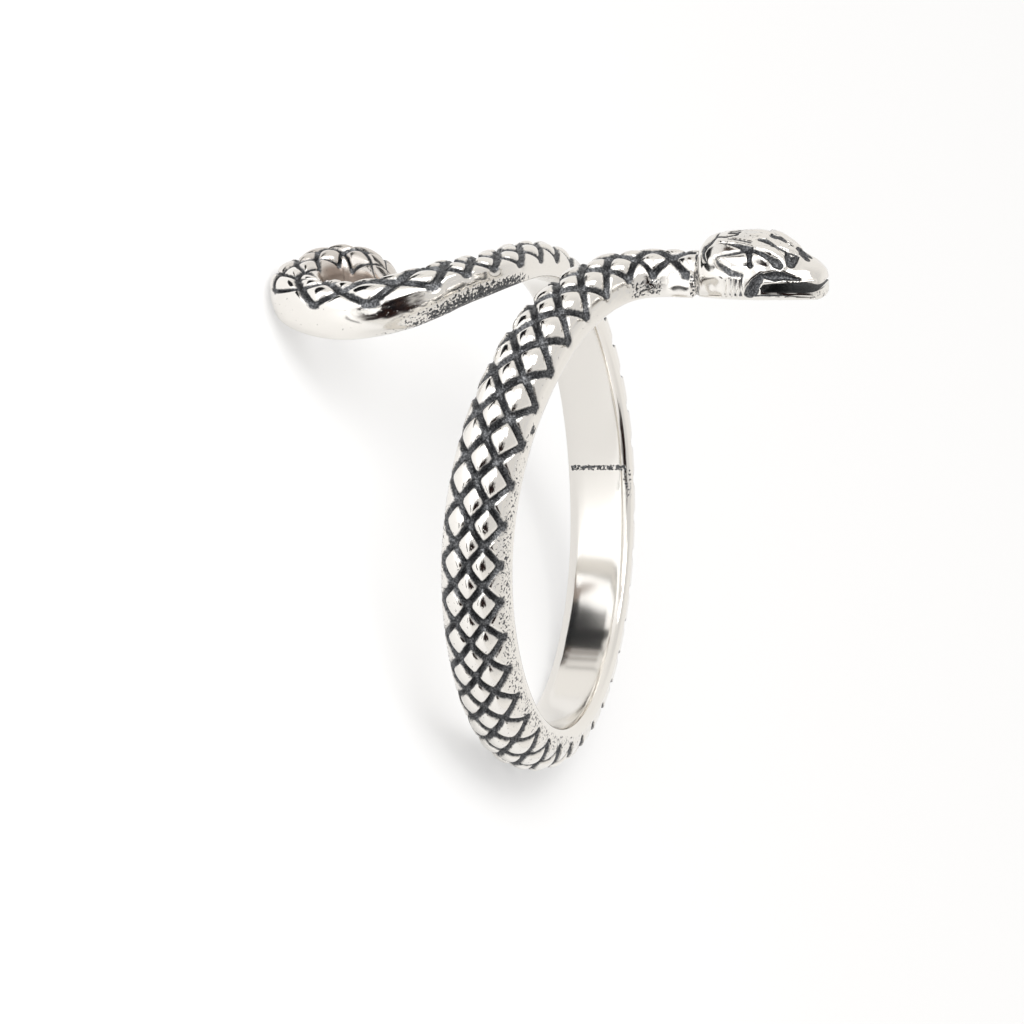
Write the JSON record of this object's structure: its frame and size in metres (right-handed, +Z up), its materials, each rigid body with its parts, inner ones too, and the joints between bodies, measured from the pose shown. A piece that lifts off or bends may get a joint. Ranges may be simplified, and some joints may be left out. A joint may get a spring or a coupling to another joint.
{
  "type": "snake wrap ring",
  "caption": "Finger ring shaped as a snake: a scaled body winds once round the finger, its head lies along one side and its tail ends in a flat loop on the other.",
  "frame": {"origin": "on the surface that the ring lies on, under the middle of its box", "axes": "+Z up from the surface, +X along the lying ring's longest side, so that the finger's axis lies in the XZ plane and leans 25 degrees from +Z towards +X, where the head points"},
  "size_m": [0.0224, 0.021, 0.0195],
  "materials": {
    "oxidised_silver": "polished cast sterling silver with blackened grooves"
  },
  "bodies": {
    "root": {"snake_ring": "oxidised_silver"}
  },
  "joints": []
}
